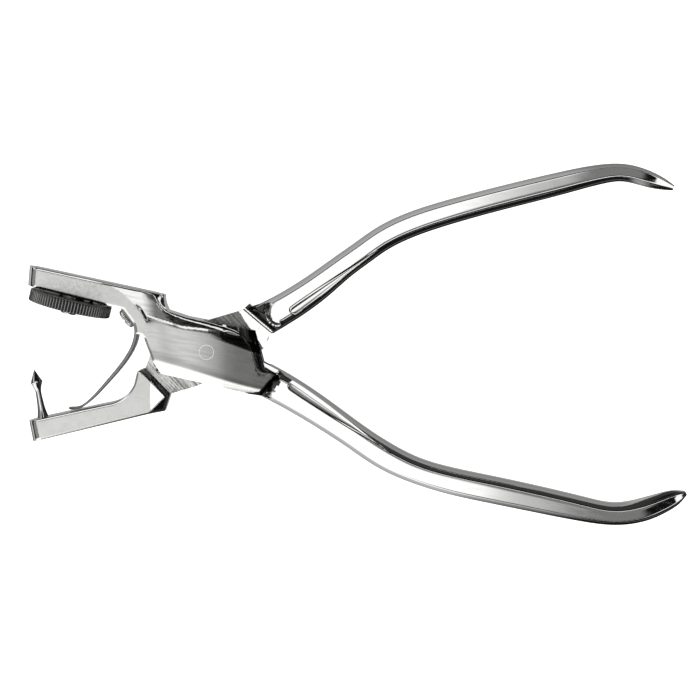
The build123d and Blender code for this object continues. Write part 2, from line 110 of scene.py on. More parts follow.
LOWER_HANDLE = (
    (12.0, -6.0, 8.6, 3.4), (18.4, -9.35, 8.4, 3.4), (30.65, -17.0, 7.5, 3.4),
    (38.3, -22.35, 7.0, 3.4), (45.95, -27.4, 7.1, 3.4), (53.8, -31.15, 6.75, 3.4),
    (61.2, -33.5, 6.85, 3.4), (72.3, -36.0, 7.0, 3.4), (83.2, -38.3, 6.9, 3.3),
    (97.9, -41.5, 6.3, 3.2), (105.9, -42.65, 5.8, 3.1), (113.9, -41.4, 5.9, 2.7),
    (119.0, -39.5, 5.1, 2.0), (122.3, -38.1, 3.5, 1.4), (124.4, -37.2, 1.2, 0.8),
)
UPPER_HANDLE = (
    (14.5, 8.0, 8.4, 3.4), (18.5, 10.2, 8.1, 3.4), (28.6, 16.8, 7.35, 3.4),
    (35.5, 22.2, 6.5, 3.4), (40.0, 25.45, 6.35, 3.4), (44.7, 28.75, 6.35, 3.4),
    (49.6, 31.35, 6.4, 3.4), (61.6, 35.6, 6.3, 3.4), (75.6, 39.4, 6.1, 3.3),
    (92.0, 43.45, 5.75, 3.2), (101.0, 45.45, 5.05, 3.1), (107.0, 45.85, 4.5, 2.8),
    (113.1, 44.35, 4.2, 2.3), (117.3, 42.9, 2.9, 1.5), (119.8, 42.0, 1.4, 0.9),
)
LOWER_FLUTE = ((22.2, -8.7), (47.5, -26.4))
UPPER_FLUTE = ((22.4, 10.7), (46.8, 28.2))
HANDLE_SPACING = 0.5
NOSE_START = 16.3
NOSE_DEPTH = 1.7
FACE_CROWN = 0.04
# the facet's width, then the shoulder between it and the face as slopes and widths
OUTER_SIDE = (1.25, ((30, 0.1), (14, 0.08)))
UPPER_INNER_SIDE = (1.5, ((40, 0.12), (17, 0.26), (12, 0.1), (8, 0.3)))
LOWER_INNER_SIDE = (1.45, ((42, 0.22), (26, 0.28), (13, 0.12), (8, 0.34)))
FLUTE_FLOOR = 2.3
FLUTE_RIM = 4.8  # the cutter's top, clear of the handle's face


# ---- curves ---------------------------------------------------------------------------------
def along(start, direction, distance):
    """The point at a distance from start in a direction."""
    return (start[0] + direction[0] * distance, start[1] + direction[1] * distance)


def arc(start, through, end, steps=12):
    """Points on the circle through three points, from start to end."""
    (ax, ay), (bx, by), (cx, cy) = start, through, end
    d = 2 * (ax * (by - cy) + bx * (cy - ay) + cx * (ay - by))
    sa, sb, sc = ax * ax + ay * ay, bx * bx + by * by, cx * cx + cy * cy
    ux = (sa * (by - cy) + sb * (cy - ay) + sc * (ay - by)) / d
    uy = (sa * (cx - bx) + sb * (ax - cx) + sc * (bx - ax)) / d
    radius = hypot(ax - ux, ay - uy)
    first, middle, last = (atan2(y - uy, x - ux) for x, y in (start, through, end))
    swing = (last - first) % (2 * pi)
    if (middle - first) % (2 * pi) > swing:
        swing -= 2 * pi
    turns = [first + swing * i / steps for i in range(steps + 1)]
    return [(ux + radius * cos(t), uy + radius * sin(t)) for t in turns]


def smooth_line(points, spacing):
    """Rows on a natural cubic spline through rows of numbers, whose first two are x and y."""
    rows = np.array(points, float)
    knots = np.concatenate(([0], np.cumsum(np.hypot(*np.diff(rows[:, :2], axis=0).T))))
    gaps = np.diff(knots)
    size = len(rows)
    system = np.eye(size)
    wanted = np.zeros_like(rows)
    for i in range(1, size - 1):
        system[i, i - 1 : i + 2] = gaps[i - 1], 2 * (gaps[i - 1] + gaps[i]), gaps[i]
        rise = (rows[i + 1] - rows[i]) / gaps[i] - (rows[i] - rows[i - 1]) / gaps[i - 1]
        wanted[i] = 6 * rise
    bend = np.linalg.solve(system, wanted)
    places = np.linspace(0, knots[-1], max(2, int(knots[-1] / spacing)) + 1)
    index = np.clip(np.searchsorted(knots, places, side="right") - 1, 0, size - 2)
    gap = gaps[index][:, None]
    after = (places - knots[index])[:, None] / gap
    before = 1 - after
    curve = before * rows[index] + after * rows[index + 1]
    sag = (before**3 - before) * bend[index] + (after**3 - after) * bend[index + 1]
    return curve + gap**2 / 6 * sag


def line_level(line, x):
    """The smooth line's height at each x, for a line that runs towards +x."""
    rows = smooth_line(line, 0.5)
    return np.interp(x, rows[:, 0], rows[:, 1])


def circle(radius, steps):
    turns = [2 * pi * i / steps for i in range(steps)]
    return [(cos(turn) * radius, sin(turn) * radius) for turn in turns]


def frames(points, spacing):
    """Rows on the smooth line, and the line's direction at each."""
    rows = smooth_line(points, spacing)
    run = np.gradient(rows[:, :2], axis=0)
    return rows, run / np.hypot(*run.T)[:, None]


def divide(points, spacing, closed=True):
    """The same line with more points, so that no run is longer than spacing."""
    pairs = zip(points, points[1:] + points[:1] if closed else points[1:])
    result = []
    for start, end in pairs:
        steps = max(1, int(hypot(end[0] - start[0], end[1] - start[1]) / spacing))
        for i in range(steps):
            share = i / steps
            result.append(tuple(a + (b - a) * share for a, b in zip(start, end)))
    return result if closed else result + [points[-1]]


def distance_to(points, line):
    """The distance from each point to an open line."""
    points, line = np.asarray(points, float), np.asarray(line, float)
    best = np.full(len(points), 1e9)
    for start, end in zip(line[:-1], line[1:]):
        run = end - start
        share = np.clip((points - start) @ run / max(run @ run, 1e-12), 0, 1)
        best = np.minimum(best, np.hypot(*(points - start - share[:, None] * run).T))
    return best


def distance_to_loop(points, loop):
    """The distance from each point to a closed line."""
    return distance_to(points, [*loop, loop[0]])


def inside(points, loop):
    """Which points lie inside a closed line."""
    points, loop = np.asarray(points, float), np.asarray(loop, float)
    found = np.zeros(len(points), bool)
    for (ax, ay), (bx, by) in zip(loop, np.roll(loop, -1, axis=0)):
        if ay == by:
            continue
        crosses = (points[:, 1] >= ay) != (points[:, 1] >= by)
        found ^= crosses & (points[:, 0] < (bx - ax) * (points[:, 1] - ay) / (by - ay) + ax)
    return found


def ease(value, low, high):
    """0 below low, 1 above high, and a smooth step between them."""
    share = np.clip((value - low) / (high - low), 0, 1)
    return share * share * (3 - 2 * share)


def ripple(x, y, size, seed):
    """A smooth uneven value between about -1 and 1."""
    return noise.noise(Vector((x / size, y / size, seed)))


# ---- meshes ---------------------------------------------------------------------------------
def new_object(name, corners, faces):
    """A mesh object from millimetre corners about the middle plane."""
    mesh = bpy.data.meshes.new(name)
    mesh.from_pydata([tuple(c) for c in corners], [], faces)
    mesh.transform(Matrix.Translation((0, 0, MID_PLANE)) @ Matrix.Scale(MM, 4))
    piece = bpy.data.objects.new(name, mesh)
    bpy.context.collection.objects.link(piece)
    work = bmesh.new()
    work.from_mesh(mesh)
    bmesh.ops.remove_doubles(work, verts=work.verts, dist=1e-7)
    bmesh.ops.recalc_face_normals(work, faces=work.faces)
    work.to_mesh(mesh)
    work.free()
    return piece


def tube(name, corners, size):
    """A closed mesh over rings of corners, each ring size corners long."""
    faces = []
    for base in range(0, len(corners) - size, size):
        for i in range(size):
            j = (i + 1) % size
            faces.append((base + i, base + j, base + size + j, base + size + i))
    faces.append(tuple(range(size))[::-1])
    faces.append(tuple(range(len(corners) - size, len(corners))))
    return new_object(name, corners, faces)


def combine(piece, tool, operation):
    """Cut, join or intersect a piece with a tool, and drop the tool."""
    step = piece.modifiers.new("combine", "BOOLEAN")
    step.operation = operation
    step.solver = "MANIFOLD"
    step.object = tool
    bpy.context.view_layer.update()
    result = bpy.data.meshes.new_from_object(
        piece.evaluated_get(bpy.context.evaluated_depsgraph_get())
    )
    if not result.polygons:
        raise RuntimeError(f"{piece.name} {operation} {tool.name} left nothing")
    piece.modifiers.clear()
    result.name = piece.name
    piece.data = result
    bpy.data.objects.remove(tool)
    return piece


def finish_mesh(piece, crease=30):
    """Smooth shading with crisp edges where faces meet at more than crease degrees."""
    piece.data.shade_smooth()
    piece.data.set_sharp_from_angle(angle=radians(crease))
    return piece


def prism(name, loop, low, high):
    """A straight prism from a closed line of the middle plane."""
    count = len(loop)
    corners = [(x, y, low) for x, y in loop] + [(x, y, high) for x, y in loop]
    sides = [(i, (i + 1) % count, count + (i + 1) % count, count + i) for i in range(count)]
    ends = [tuple(range(count))[::-1], tuple(range(count, 2 * count))]
    return new_object(name, corners, sides + ends)


def lathe(name, profile, origin, axis, steps=64, ripples=None):
    """A turned piece: profile rows are radius and height along an axis in the middle plane."""
    across = (axis[1], -axis[0])
    corners = []
    for radius, height in profile:
        for i in range(steps):
            turn = 2 * pi * i / steps
            reach = radius + (ripples(turn, radius) if ripples else 0)
            x, y = along(along(origin, axis, height), across, reach * cos(turn))
            corners.append((x, y, reach * sin(turn)))
    return tube(name, corners, steps)


ROW_PITCH = 0.87  # between the grid's rows, as a share of the spacing along them
GRID_MARGIN = 0.45  # clear of the edge's own rows, as a share of the spacing
ROW_MARGIN = 0.93  # a row's points are left out where a corner brings them nearer the edge


def relief(name, loop, height, spacing, rows=()):
    """A plate whose two faces follow height(points), the front one up and the back one down."""
    loop = [tuple(p) for p in loop]
    count = len(loop)
    edge = np.array(loop)
    low, high = edge.min(0), edge.max(0)
    grid_x, grid_y = np.meshgrid(
        np.arange(low[0], high[0], spacing), np.arange(low[1], high[1], spacing * ROW_PITCH)
    )
    grid_x = grid_x + (np.arange(len(grid_x)) % 2)[:, None] * spacing / 2
    grid = np.column_stack((grid_x.ravel(), grid_y.ravel()))
    grid = grid[inside(grid, edge)]
    widest = max(rows, default=0)
    grid = grid[distance_to_loop(grid, edge) > widest + spacing * GRID_MARGIN]
    ahead, behind = np.roll(edge, -1, axis=0), np.roll(edge, 1, axis=0)
    run = ahead - behind
    inward = np.column_stack((-run[:, 1], run[:, 0])) / np.hypot(*run.T)[:, None]
    area = np.sum(edge[:, 0] * ahead[:, 1] - ahead[:, 0] * edge[:, 1])
    inward = inward * np.sign(area)
    points = [edge]
    for row in rows:
        moved = edge + inward * row
        keep = inside(moved, edge) & (distance_to_loop(moved, edge) > row * ROW_MARGIN)
        points.append(moved[keep])
    points.append(grid)
    everything = np.vstack(points)
    flat, _, triangles, *_ = geometry.delaunay_2d_cdt(
        [Vector(p) for p in everything], [], [list(range(count))], 1, 1e-6
    )
    flat = np.array([tuple(p) for p in flat])
    heights = height(flat)
    total = len(flat)
    corners = [(x, y, h) for (x, y), h in zip(flat, heights)]
    corners += [(x, y, -h) for (x, y), h in zip(flat, heights)]
    faces = [tuple(t) for t in triangles] + [tuple(total + i for i in t[::-1]) for t in triangles]
    used = dict.fromkeys(pair for a, b, c in triangles for pair in ((a, b), (b, c), (c, a)))
    for a, b in used:
        if (b, a) not in used:
            faces.append((b, a, total + a, total + b))
    return new_object(name, corners, faces)


# ---- handles --------------------------------------------------------------------------------
def handle_side(wide, half, run, shoulder):
    """One side of a handle's face, from the upright flank over the facet on to the face."""
    flank = half * 0.3
    room = min(1.0, wide / 3.0)
    shoulder = [(radians(tilt), width * room) for tilt, width in shoulder]
    lift = half - flank - sum(width * tan(tilt) for tilt, width in shoulder)
    facet = [(0.0, 0.0)]
    for step in range(6):  # slightly rounded, steeper towards the flank
        tilt = radians(68 - 3 * step)
        facet.append((facet[-1][0] + cos(tilt), facet[-1][1] + sin(tilt)))
    across, up = facet[-1]
    points = [(wide - 0.02, flank * 0.55), (wide - 0.01, flank * 0.8)]
    points += [(wide - a / across * run * room, flank + b / up * lift) for a, b in facet]
    for tilt, width in shoulder:
        u, z = points[-1]
        points.append((u - width * 0.5, z + width * 0.5 * tan(tilt)))
        points.append((u - width, z + width * tan(tilt)))
    return points


def handle_profile(wide, half, plus_side, minus_side):
    """The front half of a handle's section, from its left flank to its right flank."""
    left = [(-u, z) for u, z in handle_side(wide, half, *minus_side)]
    right = handle_side(wide, half, *plus_side)[::-1]
    start, end = left[-1][0], right[0][0]
    face = []
    for step in range(1, 10):
        share = step / 10
        face.append((start + (end - start) * share, half + FACE_CROWN * 4 * share * (1 - share)))
    return left + face + right


def make_handle(name, route, nose_start, sides):
    """A bar along a route, whose face starts in a rounded nose beyond nose_start."""
    rows, run = frames(route, HANDLE_SPACING)
    first = int(np.argmin(abs(rows[:, 0] - nose_start)))
    travelled = (np.arange(len(rows)) - first) * HANDLE_SPACING
    corners = []
    for (x, y, width, half), (tx, ty), past in zip(rows, run, travelled):
        front = handle_profile(width / 2, half, *sides)
        face = width / 2 - 1.0
        nosed = []
        for u, z in front:
            beyond = hypot(min(abs(u), face), max(face - past, 0)) - face
            drop = NOSE_DEPTH * float(ease(beyond, -0.7, 1.4)) if past < face else 0.0
            nosed.append((u, min(z, half - drop)))
        section = nosed + [(u, -z) for u, z in nosed[::-1]]
        corners += [(x - ty * u, y + tx * u, z) for u, z in section]
    return tube(name, corners, len(section))


def make_flute(near, far, side, wide, step):
    """The cutter for a scoop along a handle: round at the root, pointed at its far end.

    One side of the scoop is lower than the other by step.
    """
    length = hypot(far[0] - near[0], far[1] - near[1])
    axis = ((far[0] - near[0]) / length, (far[1] - near[1]) / length)
    across = (-axis[1], axis[0])
    stations = []
    for turn in (0.08, 0.3, 0.55, 0.8, 1.05, 1.3):
        stations.append((-wide * cos(turn), wide * sin(turn), 0.0))
    for index in range(25):
        share = index / 24
        stations.append((length * share, max(0.03, wide * (1 - share**1.6)), share))
    # the scoop's wall and floor: a share of the half width, what is added to it, and the rise
    scoop = ((1, 0.1, 0.55), (0.92, 0, 0.2), (0.5, 0, 0.06), (0.05, 0, 0))
    corners = []
    for place, half, share in stations:
        floor_z = FLUTE_FLOOR + share**2
        rim = FLUTE_RIM - floor_z
        left = [(-half - 0.4, rim)]
        left += [(-(half * part) - extra, rise) for part, extra, rise in scoop]
        right = [(-u, rise - step) for u, rise in left[:0:-1]] + [(half + 0.4, rim)]
        base = along(near, axis, place)
        section = left + right
        for u, rise in section:
            x, y = along(base, across, u)
            corners.append((x, y, side * (floor_z + rise)))
    return tube("flute_cutter", corners, len(section))


def make_ridge(points, radius, level, side):
    """A fine raised line over a hollow, as a round bar half sunk in it."""
    rows, run = frames(points, 0.25)
    corners = []
    for (x, y), (tx, ty) in zip(rows, run):
        for u, z in circle(radius, 12):
            corners.append((x - ty * u, y + tx * u, side * (level + z)))
    return tube("ridge", corners, 12)


# ---- the box arm ------------------------------------------------------------------------------
SATIN_EDGE = (
    (-45.9, 22.2), (-36.0, 20.0), (-30.0, 18.62), (-24.9, 17.1), (-22.1, 15.6), (-19.1, 12.9),
    (-17.1, 10.8), (-15.8, 8.4), (-15.05, 5.7), (-14.7, 2.2), (-13.65, -2.5), (-12.6, -5.9),
)
# where the flat face turns down into the fold, the fold's ridge, and the bright line beyond it
FOLD_FOOT = (
    (-16.5, 5.5), (-10.3, 6.0), (-6.4, 5.35), (-1.2, 4.1), (3.2, 3.05), (6.6, 1.9), (11.6, 0.0),
    (15.0, -1.4),
)
FOLD_RIDGE = (
    (-17.5, 9.9), (-14.5, 8.95), (-10.1, 7.6), (-6.4, 6.45), (-2.8, 6.0), (1.4, 5.5), (6.0, 4.7),
    (11.0, 2.8), (15.0, 0.6),
)
FOLD_TOP = (
    (-13.2, 15.3), (-13.05, 14.1), (-12.55, 12.95), (-11.9, 11.9), (-10.6, 10.7), (-7.75, 9.45),
    (-3.85, 8.25), (0.85, 7.1), (4.2, 6.1), (7.7, 4.75), (10.6, 2.4), (12.0, 0.4),
)
BOX_RIGHT = (BOX_UPPER_RIGHT, (14.8, -3.9))
BOX_BOTTOM = (BOX_LOWER_LEFT, (-0.4, -8.05), (10.8, -10.8), (14.0, -11.35))
BOX_CORNER = ((14.0, -11.35), (18.3, -5.8), (14.8, -3.9))
# the strip under the box's lower right corner, which gets painted shade
UNDER_CORNER_PAINTED_SHADE = (
    (9.9, -10.35), (11.75, -10.45), (13.3, -10.2), (14.5, -9.0), (15.8, -7.4), (18.4, -6.0),
    (19.0, -8.0), (14.2, -12.0), (11.0, -11.3),
)


def box_arm_loop():
    """The jaw, the throat wall and the box, seen along the pivot."""
    loop = [JAW_END_TOP, JAW_UNDERSIDE_END, UNDERSIDE_FOOT]
    loop += arc(UNDERSIDE_FOOT, (-22.6, 11.35), PAD_TOP)[1:]
    loop += arc(PAD_BOTTOM, (-18.35, 6.2), THROAT_FOOT)
    loop += [(-16.7, 4.3), (-16.05, 3.5), *BOX_BOTTOM]
    loop += [(18.3, -5.8), (14.8, -3.9), BOX_UPPER_RIGHT, (4.0, 7.1), (-4.9, 8.8)]
    loop += arc(NOTCH_FOOT, NOTCH_MIDDLE, NOTCH_TOP)
    return divide(loop, 0.3)


JAW_TIP_FACETS = ((0, 0.9, 1.35, 2.25), (2.55, 0.84, 0.4, 0))  # depth from the end, and the drop
EDGE_ROWS = (0.07, 0.14, 0.3, 0.44, 0.58, 0.75, 0.95, 1.15, 1.35, 1.5, 1.65, 1.85, 2.1, 2.35)
EDGE_RADIUS = 0.14
CHAMFER_WIDTH = 0.62
CHAMFER_SLOPE = 0.32


def edge_drop(edge):
    """What a narrow chamfer and the rounding beyond it take off near an edge."""
    inner = np.clip(1 - edge / EDGE_RADIUS, 0, 1)
    rounded = EDGE_RADIUS * (1 - np.sqrt(np.clip(1 - inner**2, 0, 1)))
    return rounded + CHAMFER_SLOPE * np.clip(CHAMFER_WIDTH - edge, 0, None)


def end_drop(points, top, bottom):
    """What the facets of a jaw's outer end take off its face."""
    run = hypot(top[0] - bottom[0], top[1] - bottom[1])
    up = ((top[0] - bottom[0]) / run, (top[1] - bottom[1]) / run)
    depth = (points[:, 0] - bottom[0]) * up[1] - (points[:, 1] - bottom[1]) * up[0]
    return np.interp(depth, *JAW_TIP_FACETS)


def from_bright_line(points):
    """Whether points lie beyond the fold's bright line, how far from it, and its width there."""
    top_line = smooth_line(FOLD_TOP, 0.5)
    around = [*map(tuple, top_line), (20.0, 0.4), (20.0, 20.0), (-13.2, 20.0)]
    width = np.interp(points[:, 0], (-4, 3.5, 5.5, 8.0, 8.6), (0.42, 0.7, 1.1, 0.4, 0.02))
    return inside(points, around), distance_to(points, top_line), width


def satin_level(y):
    """How far towards +x the satin finish reaches at each y."""
    rows = smooth_line(SATIN_EDGE, 0.5)
    return np.interp(-y, -rows[:, 1], rows[:, 0])


FALL_START = -3.0
FALL_RUN = 8  # from there on the fall is even
FALL_CURVE = 0.0052
FALL_SLOPE = 0.083
CHEEK_LEAST = 1.95  # the lowest that the face gets, so that the slot leaves a wall
BEVEL_WIDTH = 2.1
CORNER_WIDTH = 0.8
BEVEL_SLOPE = 0.5


def box_height(points):
    """How far the box arm's face stands from the middle plane."""
    x, y = points[:, 0], points[:, 1]
    polished = x > satin_level(y)
    from_satin = np.where(polished, distance_to(points, smooth_line(SATIN_EDGE, 0.5)), 0)
    # the face falls gently from the pivot towards the handle
    beyond = np.clip(x - FALL_START, 0, None)
    even = FALL_CURVE * FALL_RUN**2 + FALL_SLOPE * (beyond - FALL_RUN)
    body = BOX_HALF - np.where(beyond < FALL_RUN, FALL_CURVE * beyond**2, even)
    body = JAW_HALF + (body - JAW_HALF) * ease(from_satin, -0.4, 8.5)
    # the fold: the face turns down steeply to an uneven ridge
    wave = [ripple(a, b, 1.6, 3.0) * 0.1 + ripple(a, b, 0.5, 7.0) * 0.09 for a, b in points]
    foot_y = line_level(FOLD_FOOT, x)
    ridge_y = line_level(FOLD_RIDGE, x) + np.array(wave) * np.interp(x, (0, 4), (1, 0.2))
    share = np.clip((y - foot_y) / (ridge_y - foot_y), 0, 1)
    steepness = np.interp(x, (-13, -8, 1, 4), (0.33, 0.3, 0.27, 0.02))
    turn = steepness * (ridge_y - foot_y) * share**2 / 2
    sloped = ease(x, -17.5, -9.5)
    regained = (1 - sloped) * ease(y - ridge_y, 0, 3.5)
    turn = turn * (1 - regained) * ease(from_satin, -0.1, 0.8)
    dark_turn = np.interp(x, (1, 5), (0, 0.2))
    turn += dark_turn * np.clip(y - foot_y, 0, ridge_y - foot_y)
    # a plane from the ridge to the bright line
    outside, away, line_width = from_bright_line(points)
    plane = np.interp(x, (0, 5), (0.215, 0.2))
    from_ridge = distance_to(points, smooth_line(FOLD_RIDGE, 0.5)) - 0.3
    above_ridge = np.where(y > ridge_y + 0.3, from_ridge, 0)
    fold = plane * sloped * np.clip(above_ridge, 0, None)
    extra = np.interp(x, (1, 5), (0.355, 0.28)) - plane
    fold += extra * np.where(outside, line_width, np.clip(line_width - away, 0, None))
    # beyond it the face falls away to the edge
    gentle = np.interp(x, (-12, -8, 8, 11), (0.25, 0.05, 0.03, -0.12))
    falling = 0.4 * np.minimum(away, 0.35) + gentle * np.clip(away - 0.35, 0, None)
    fold += np.where(outside, falling, 0)
    body -= turn + fold * ease(from_satin, 0.0, 2.0)
    # a fine bright line along the foot of the fold, over the dull half of the face
    body += np.exp(-(((y - foot_y) / 0.2) ** 2)) * np.interp(x, (0, 4), (0, 0.03))
    # roll-off to the lower edge, wide near the throat
    low = distance_to(points, BOX_BOTTOM)
    wide = np.interp(x, (-13, 14), (3.4, 1.4))
    roll = np.interp(x, (-6, 4), (0.28, 0.07))
    body -= roll * wide * np.clip(1 - low / wide, 0, 1) ** 1.5
    # bevels along the handle side and the corner
    right = distance_to(points, BOX_RIGHT)
    body -= BEVEL_SLOPE * np.clip(BEVEL_WIDTH - right, 0, None)
    for place in (0.55, 1.5):  # two fine lines on the bevel
        body += 0.06 * np.exp(-(((right - place) / 0.14) ** 2))
    corner = distance_to(points, BOX_CORNER)
    body -= BEVEL_SLOPE * np.clip(CORNER_WIDTH - corner, 0, None)
    height = np.where(polished, np.maximum(body, CHEEK_LEAST), JAW_HALF)
    # a narrow chamfer and rounding along every edge of the jaw
    edge = distance_to_loop(points, box_arm_loop())
    height = height - np.where(x < -12.0, edge_drop(edge), 0)
    return height - end_drop(points, JAW_END_TOP, JAW_UNDERSIDE_END)


# ---- the tongue arm ---------------------------------------------------------------------------
JAW_SHOULDER = ((-16.0, -4.35), (-9.55, -11.0))
SHOULDER_TURN = radians(44.2)
SHOULDER_FROM_PIVOT = 14.52
SHOULDER_RAMP = 1.26
PUNCH_JAW_END = ((-46.35, -18.0), (-45.4, -23.4))
HANDLE_SHOULDER = ((9.2, 10.85), (16.45, 4.65))
GROUND_END = ((8.06, 10.5), (11.1, 5.9))  # beyond this line the tongue is polished


def punch_jaw_loop():
    """The lower jaw, seen along the pivot."""
    loop = [(-45.4, -23.4), (-46.35, -18.0)]
    loop += arc((-25.9, -13.6), (-20.9, -11.3), (-18.75, -8.4))
    loop += [(-17.95, -5.15), JAW_SHOULDER[0], JAW_SHOULDER[1], (-11.0, -15.4), (-15.3, -16.1)]
    return divide(loop, 0.3)


def punch_jaw_height(points):
    """How far the lower jaw's face stands from the middle plane."""
    x, y = points[:, 0], points[:, 1]
    edge = distance_to_loop(points, punch_jaw_loop())
    height = np.full(len(points), JAW_HALF)
    corner = ((x + 15.4) - (y + 16.1)) / 2**0.5
    height -= 0.5 * np.clip(corner, 0, None)
    shoulder = -(x * cos(SHOULDER_TURN) + y * sin(SHOULDER_TURN)) - SHOULDER_FROM_PIVOT
    slope = (JAW_HALF - TONGUE_HALF) / SHOULDER_RAMP
    height = np.minimum(height, TONGUE_HALF + np.clip(shoulder, 0, None) * slope)
    height -= edge_drop(edge) * (height > TONGUE_HALF + 0.5)
    height = height - end_drop(points, *PUNCH_JAW_END)
    return np.maximum(height, TONGUE_HALF * 0.98)


def tongue_loop():
    """The thin plate that passes through the box."""
    return [
        (-17.5, -6.0), (-10.8, -12.6), (-9.5, -11.0), (-3.0, -9.1), (-1.7, -8.5), (14.7, 0.8),
        (16.4, 4.7), (17.6, 5.6), (10.9, 12.3), (9.0, 10.6), (-0.5, 7.82), (-14.7, -0.8),
        (-16.0, -4.35),
    ]


def tongue_height(points):
    """The tongue's face, left with the grooves of coarse grinding."""
    levels = []
    for x, y in points:
        across = x * cos(radians(28)) - y * sin(radians(28))
        groove = ripple(across, 0.04 * y, 0.16, 11.0) + 0.7 * ripple(across, 0.03 * y, 0.42, 5.0)
        levels.append(TONGUE_HALF - 0.035 + 0.05 * groove)
    return np.minimum(np.array(levels), TONGUE_HALF + 0.02)


def behind_shoulder(points):
    """How far points lie behind the upper handle's shoulder, towards its end."""
    (ax, ay), (bx, by) = HANDLE_SHOULDER
    run = hypot(bx - ax, by - ay)
    return (points[:, 0] - ax) * (ay - by) / run + (points[:, 1] - ay) * (bx - ax) / run


def root_height(points):
    """The upper handle's root: a ramp up from the tongue and a hollow behind it."""
    behind = behind_shoulder(points)
    ramp = TONGUE_HALF + 0.12 + 0.8 * np.clip(behind, 0, 0.6)
    hollow = 0.42 * np.clip(behind - 0.75, 0, None)
    return np.maximum(ramp - hollow, 1.3)


# fine ridges across the hollows at the two handle roots
LOWER_ARCH = ((14.3, -10.6), (15.6, -9.4), (17.3, -7.75), (19.0, -7.1), (20.6, -7.3))
UPPER_ARCH = ((11.8, 10.6), (13.4, 10.3), (15.2, 9.2), (16.3, 7.4))

FACE_SPACING = 0.34
SLOT_HALF = 1.56
LEAF_SEAT_HALF = 3.05


def make_box_arm():
    body = relief("box_arm_steel", box_arm_loop(), box_height, FACE_SPACING, rows=EDGE_ROWS)
    handle = make_handle("lower_handle", LOWER_HANDLE, NOSE_START, (LOWER_INNER_SIDE, OUTER_SIDE))
    body = combine(body, handle, "UNION")
    for side in (1, -1):
        body = combine(body, make_flute(*LOWER_FLUTE, side, 1.4, 0.22), "DIFFERENCE")
        body = combine(body, make_ridge(LOWER_ARCH, 0.3, 1.72, side), "UNION")
    slot = [
        (-16.4, 3.2), (-20.0, 3.2), (-20.0, -8.0), (-0.5, -14.0), (-0.5, -8.0), (2.1, -6.5),
        (13.95, -5.42), (17.2, -2.6), (25.0, 8.0), (25.0, 12.0), (-1.1, 12.0), (-1.1, 7.63),
        (-2.5, 6.85), (-13.9, 5.4),
    ]
    body = combine(body, prism("slot", slot, -SLOT_HALF, SLOT_HALF), "DIFFERENCE")
    body = combine(body, prism("bore", circle(PIVOT_R, 96), -6, 6), "DIFFERENCE")
    top = along(PAD_TOP, PAD_DOWN, -0.8)
    groove = [
        along(top, PAD_OUT, -0.35), along(along(PAD_BOTTOM, PAD_DOWN, 1.7), PAD_OUT, -0.35),
        (-17.3, 4.0), (-19.0, 4.0), along(PAD_BOTTOM, PAD_OUT, 0.6), along(top, PAD_OUT, 1.5),
    ]
    body = combine(body, prism("groove", groove, -LEAF_SEAT_HALF, LEAF_SEAT_HALF), "DIFFERENCE")
    ring, floor_z = circle(PIN_GROOVE, 96), BOX_HALF - PIN_GROOVE_DEPTH
    body = combine(body, prism("pin_groove", ring, floor_z, BOX_HALF + 1), "DIFFERENCE")
    return combine(body, prism("pin_groove", ring, -BOX_HALF - 1, -floor_z), "DIFFERENCE")


def make_tongue_arm():
    body = relief(
        "tongue_arm_steel", punch_jaw_loop(), punch_jaw_height, FACE_SPACING, rows=EDGE_ROWS
    )
    tongue = relief("tongue", divide(tongue_loop(), 0.4), tongue_height, 0.3)
    body = combine(body, tongue, "UNION")
    handle = make_handle("upper_handle", UPPER_HANDLE, NOSE_START, (OUTER_SIDE, UPPER_INNER_SIDE))
    beyond = [HANDLE_SHOULDER[0], HANDLE_SHOULDER[1], (160, 4.65), (160, 160), (9.2, 160)]
    handle = combine(handle, prism("beyond", beyond, -20, 20), "INTERSECT")
    root = divide([*HANDLE_SHOULDER, (20.4, 7.6), (16.2, 13.5), (13.9, 12.35)], 0.3)
    handle = combine(handle, relief("root", root, root_height, 0.26, rows=(0.1, 0.3)), "UNION")
    body = combine(body, handle, "UNION")
    for side in (1, -1):
        body = combine(body, make_flute(*UPPER_FLUTE, side, 1.15, 0.0), "DIFFERENCE")
        body = combine(body, make_ridge(UPPER_ARCH, 0.26, 1.66, side), "UNION")
    return combine(body, prism("bore", circle(TONGUE_BORE_R, 64), -6, 6), "DIFFERENCE")


# ---- the wheel, its screw, the punch and the spring ---------------------------------------------
WHEEL_TOP = along(along(JAW_UNDERSIDE_END, ALONG_JAW, WHEEL_FROM_JAW_END), WHEEL_AXIS, -WHEEL_GAP)
WHEEL_CENTRE = along(WHEEL_TOP, WHEEL_AXIS, -WHEEL_THICKNESS / 2)


